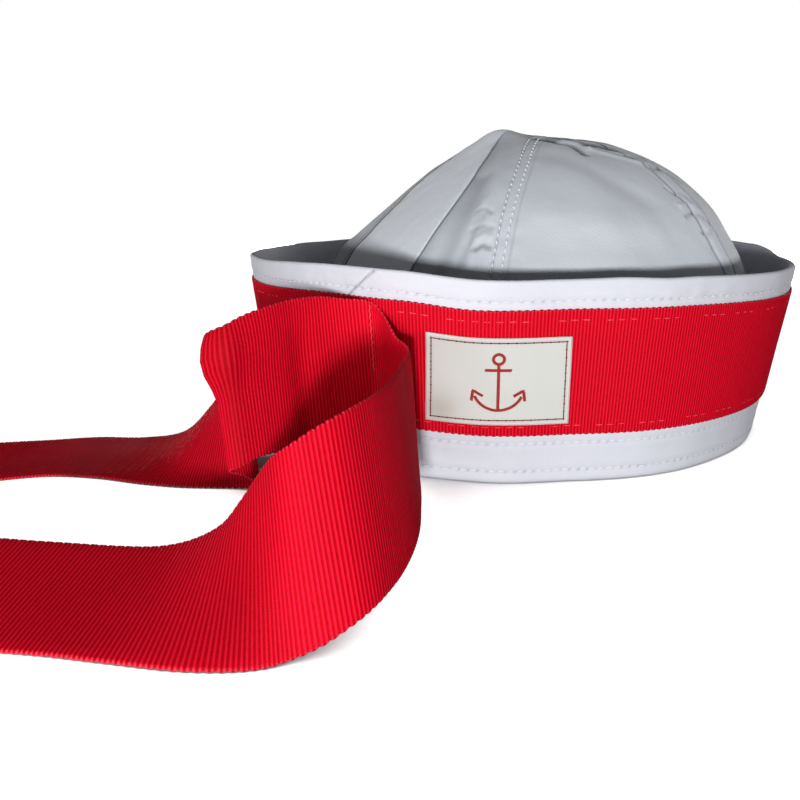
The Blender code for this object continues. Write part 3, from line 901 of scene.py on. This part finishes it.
label = {
    "foot": 0.315, "top": 0.738, "width": 40.0, "thickness": 0.5, "offBrim": 1.02,
    "margin": 1.45, "stitchPitch": 2.35,
    "anchorHeight": 17.0,
    "radius": 96.0,              # of the brim behind it
}
labelTall = (label["top"] - label["foot"]) * brim["height"] * 1.01


def labelPoint(x, y, outward=0.0):
    # x and y in millimetres from the label's middle, on its outer face
    share = label["foot"] + (label["top"] - label["foot"]) * (y / labelTall + 0.5)
    radius = brim["baseRadius"] + (brim["rimRadius"] - brim["baseRadius"]) * share
    angle = np.degrees(np.arcsin(x / radius))
    return brimPoint(angle, share, label["offBrim"] + label["thickness"] + outward)


def labelOut(x):
    return brimOut(np.degrees(np.arcsin(x / label["radius"])))


def labelRelief(x, y):
    # the lower left corner stands off a little, on a gently uneven cloth
    corner = 0.4 * ridge(np.hypot(x + 17.5, y + 9.5), 4.5)
    return corner + 0.12 * roughness(labelPoint(x, y), 11 * mm, 71.0)


def makeLabel(material):
    x = np.linspace(-0.5, 0.5, 61)[:, None] * label["width"]
    y = np.linspace(-0.5, 0.5, 41)[None] * labelTall
    toEdge = np.minimum(label["width"] / 2 - np.abs(x), labelTall / 2 - np.abs(y))
    relief = -0.16 * ridge(toEdge - label["margin"], 0.45) + 0.10 * ridge(toEdge - 0.3, 0.6)
    x, y = np.broadcast_arrays(x, y)
    points = labelPoint(x, y, relief + labelRelief(x, y))
    # painted shade along the sunk stitch line and at the lower left corner, which stands off
    shade = 0.35 * ridge(toEdge - label["margin"], 0.30) + 0.40 * ridge(np.hypot(x + 16.0, y + 9.0), 5.0)
    piece = clothMesh("label_patch", points, np.stack([x, y], -1) * mm, shade)
    faceOut(piece)
    wallOf(piece, label["thickness"] * mm, -1.0)
    return finishPiece(piece, material, ["label"])


def makeLabelStitches(lineMaterial, tickMaterial):
    # a thin stitched line, with a dark tick of painted shade in the hole where each stitch enters the cloth
    halfW, halfH = label["width"] / 2 - label["margin"], labelTall / 2 - label["margin"]
    corners = [(-halfW, -halfH), (halfW, -halfH), (halfW, halfH), (-halfW, halfH), (-halfW, -halfH)]
    for name, shift, height, length, width, material in (
            ("label_stitches", 0.5, -0.04, label["stitchPitch"] * 1.06, 0.34, lineMaterial),
            ("label_needle_hole_shade", 0.0, 0.02, 0.75, 0.46, tickMaterial)):
        rows = []
        for (x1, y1), (x2, y2) in zip(corners[:-1], corners[1:]):
            count = round(math.hypot(x2 - x1, y2 - y1) / label["stitchPitch"])
            share = (np.arange(count) + shift) / count
            x, y = x1 + (x2 - x1) * share, y1 + (y2 - y1) * share
            rows.append((labelPoint(x, y, height + labelRelief(x, y)),
                         labelPoint(x + (x2 - x1) * 0.01, y + (y2 - y1) * 0.01) - labelPoint(x, y),
                         labelOut(x)))
        stitchRows(name, rows, length * mm, width * mm, material)


def makeLabelAnchor(material):
    # a plain embroidered anchor, sewn in short satin stitches
    tall = label["anchorHeight"]
    strokes = []
    turn = np.linspace(0.0, 2.0 * math.pi, 17)
    strokes.append(np.stack([1.5 * np.sin(turn), tall * 0.5 - 1.5 + 1.5 * np.cos(turn)], -1))       # ring
    strokes.append(np.array([(0.0, tall * 0.5 - 3.0), (0.0, -tall * 0.5)]))                          # shank
    strokes.append(np.array([(-3.6, tall * 0.5 - 4.8), (3.6, tall * 0.5 - 4.8)]))                    # stock
    sweep = np.linspace(-1.15, 1.15, 21)
    arms = np.stack([7.0 * np.sin(sweep), -tall * 0.5 + 7.0 - 7.0 * np.cos(sweep)], -1)
    strokes.append(arms)
    for sign in (-1.0, 1.0):
        tip = np.array((sign * 6.4, -tall * 0.5 + 4.1))
        strokes.append(np.array([tip + (-sign * 2.1, 0.3), tip + (sign * 0.5, 1.9),
                                 tip + (sign * 0.9, -1.2)]))
    spots, along = [], []
    for stroke in strokes:
        length = lengthAlong(stroke)
        steps = np.arange(0.0, length[-1] + 0.01, 0.28)
        path = np.stack([np.interp(steps, length, stroke[:, 0]), np.interp(steps, length, stroke[:, 1])], -1)
        ahead = np.gradient(path, axis=0)
        spots.append(path)
        along.append(np.stack([-ahead[:, 1], ahead[:, 0]], -1))         # satin stitches lie across the stroke
    spots, along = np.concatenate(spots), unit(np.concatenate(along))
    lean = unit(along + 0.25 * np.stack([along[:, 1], -along[:, 0]], -1))
    middles = labelPoint(spots[:, 0], spots[:, 1], 0.08)
    alongs = labelPoint(*(spots + lean * 0.3).T, 0.08) - middles
    row = (middles, alongs, labelOut(spots[:, 0]))
    return stitchRows("label_anchor", [row], 1.05 * mm, 0.36 * mm, material)


whiteTwill = makeCrownTwill("whiteTwill", (0.79, 0.83, 0.90), 0.5)
smoothTwill = makeCrownTwill("smoothTwill", (0.84, 0.88, 0.96), 0.15)     # the front left gore, worn flat
whiteCotton = makeBrimCotton()
redGrosgrain, labelCloth = makeGrosgrain(ribbon["ribPitch"] * mm), makeLabelCloth()
whiteThread = makeThread("whiteThread", (0.60, 0.62, 0.68), (0.72, 0.74, 0.80))
redThread = makeThread("redThread", (0.70, 0.03, 0.06), (0.90, 0.10, 0.14))
maroonThread = makeThread("maroonThread", (0.22, 0.016, 0.021), (0.30, 0.029, 0.033))
# near black ticks of painted shade, in the stitch holes
needleHoleShade = makeThread("needleHoleShade", (0.03, 0.004, 0.005), (0.08, 0.006, 0.008))
print("materials ready")

makeBrim(whiteCotton)
makeBrimStitches(whiteThread)
for index in range(6):
    makeGore(index, whiteTwill if index else smoothTwill)
makeCrownStitches(whiteThread)
makeBand(redGrosgrain)
makeBandStitches(redThread)
makeLabel(labelCloth)
makeLabelStitches(maroonThread, needleHoleShade)
makeLabelAnchor(makeThread("anchorThread", (0.29, 0.016, 0.015), (0.42, 0.036, 0.028)))
tailRibbon, tailLength = makeTails(redGrosgrain)
tailStitches = makeTailStitches(redThread)
print("ribbon length", round(tailLength, 4), "m")


studio = {
    "ambient": 0.10, "ambientColor": (1.0, 0.99, 0.98),
    "floorColor": (0.86, 0.86, 0.87), "floorGlow": 0.93,
    # painted shade in narrow gaps: how far they look, how open they are where dark and where pale, and their
    # glow
    "gapReach": 0.07, "gapOpen": (0.25, 0.50), "gapGlow": 0.03,
    # a painted shadow in the gap between the ribbon's layers: its place, the reach of the dark and of its
    # rim, glow and colour
    "gapPlace": (-74.5, -92.0, 0.0), "darkReach": 5.0, "paleReach": 13.0, "darkGlow": 0.12,
    "gapShadowColor": (0.10, 0.03, 0.02),
    # place from the cap's middle, width and height of each lamp in metres, and its power in watts
    "key": ((0.044, -0.85, 0.045), (0.05, 0.06), 4.6),
    "strip": ((-0.10, -0.85, 0.032), (1.00, 0.04), 3.7),
    "left": ((-0.75, -0.50, 0.035), (0.40, 0.05), 0.6),
    "back": ((0.34, 0.85, 0.11), (0.50, 0.20), 3.6),
    "rear": ((-0.30, 0.90, 0.03), (0.90, 0.05), 4.0),
    # place, target and power of the soft spot over the lying ribbon
    "spot": ((-0.22, -0.36, 0.40), (-0.13, -0.19, 0.0), 0.9),
}


def makeStudio():
    bpy.ops.mesh.primitive_circle_add(vertices=96, radius=3.0, fill_type="NGON", location=(0, 0, 0))
    floor = bpy.context.object
    floor.name = floor.data.name = "floor"
    pale = bpy.data.materials.new("paleFloor")
    pale.use_nodes = True
    tree = pale.node_tree
    # painted shade: the glowing ground is darkened only in narrow gaps beneath the cap and its ribbon
    gap = addNode(tree, "AmbientOcclusion", {"Distance": studio["gapReach"]})
    clear = addNode(tree, "MapRange", {
        "From Min": studio["gapOpen"][0], "From Max": studio["gapOpen"][1],
        "To Min": studio["gapGlow"], "To Max": studio["floorGlow"], "Value": gap.outputs["AO"]})
    # and a painted shadow inside the small gap between the ribbon's layers
    where = addNode(tree, "NewGeometry", {})
    apart = addNode(tree, "VectorMath", {
        0: where.outputs["Position"],
        1: (*((np.array(studio["gapPlace"]) * mm + capMiddle)[:2]), -0.02 * mm)})
    apart.operation = "DISTANCE"
    gapShadowFade = addNode(tree, "MapRange", {
        "From Min": studio["darkReach"] * mm, "From Max": studio["paleReach"] * mm,
        "To Min": studio["darkGlow"], "Value": apart.outputs["Value"]})
    glow = addNode(tree, "Math", {0: clear.outputs["Result"], 1: gapShadowFade.outputs["Result"]})
    glow.operation = "MULTIPLY"
    # the painted shadow is tinted dark as well
    gapShadowTint = addNode(tree, "Mix", {})
    gapShadowTint.data_type = "RGBA"
    fillNode(tree, gapShadowTint, {
        0: gapShadowFade.outputs["Result"], 6: (*studio["gapShadowColor"], 1.0), 7: (*studio["floorColor"], 1.0)})
    fillNode(tree, tree.nodes["Principled BSDF"], {
        "Base Color": gapShadowTint.outputs[2], "Roughness": 0.9, "Specular IOR Level": 0.0,
        "Emission Color": (1.0, 1.0, 1.0, 1.0), "Emission Strength": glow.outputs["Value"]})
    floor.data.materials.append(pale)
    floor.visible_diffuse = floor.visible_glossy = False          # a white ground that throws no light up
    floor.location.z = -0.02 * mm

    world = bpy.data.worlds.new("studio")
    bpy.context.scene.world = world
    world.use_nodes = True
    tree = world.node_tree
    soft = fillNode(tree, tree.nodes["Background"], {
        "Color": (*studio["ambientColor"], 1.0), "Strength": studio["ambient"]})
    backdrop = addNode(tree, "Background", {"Color": (1.0, 1.0, 1.0, 1.0)})
    rays = addNode(tree, "LightPath", {})
    mix = addNode(tree, "MixShader", {
        0: rays.outputs["Is Camera Ray"], 1: soft.outputs[0], 2: backdrop.outputs[0]})
    fillNode(tree, tree.nodes["World Output"], {"Surface": mix.outputs[0]})

    for name in ("key", "strip", "left", "back", "rear"):
        place, size, power = studio[name]
        place = Vector(place) + Vector(capMiddle)
        target = Vector(capMiddle) + Vector((0.0, 0.0, 0.05))
        bpy.ops.object.light_add(type="AREA", location=place)
        light = bpy.context.object
        light.name = name + "Light"
        light.data.shape = "RECTANGLE"
        light.data.size, light.data.size_y = size
        light.data.energy = power
        light.rotation_euler = (target - place).to_track_quat("-Z", "Y").to_euler()
    place, target, power = studio["spot"]
    bpy.ops.object.light_add(type="SPOT", location=Vector(place) + Vector(capMiddle))
    light = bpy.context.object
    light.name = "spotLight"
    light.data.energy, light.data.shadow_soft_size = power, 0.04
    light.data.spot_size, light.data.spot_blend = math.radians(34.0), 1.0
    light.rotation_euler = (Vector(target) - Vector(place)).to_track_quat("-Z", "Y").to_euler()
    bpy.context.scene.view_settings.view_transform = "Standard"
    print("floor and lights ready")


cameraView = {
    "lens": 38.61, "roll": 0.15,
    "place": (0.0440, -0.2912, 0.0869), "forward": (-0.1481, 0.9579, -0.2459),
}


def makeCamera():
    forward = Vector(cameraView["forward"]).normalized()
    right = forward.cross(Vector((0, 0, 1))).normalized()
    up = right.cross(forward)
    roll = math.radians(cameraView["roll"])
    right, up = math.cos(roll) * right + math.sin(roll) * up, -math.sin(roll) * right + math.cos(roll) * up
    bpy.ops.object.camera_add(location=(0, 0, 0))
    camera = bpy.context.object
    camera.name = "photoCamera"
    camera.data.sensor_width = 36.0
    camera.data.lens = cameraView["lens"]
    camera.data.clip_start = 0.01
    turned = Matrix((right, up, -forward)).transposed().to_4x4()
    turned.translation = Vector(cameraView["place"])
    camera.matrix_world = turned
    bpy.context.scene.camera = camera
    print("camera ready")


makeStudio()
makeCamera()
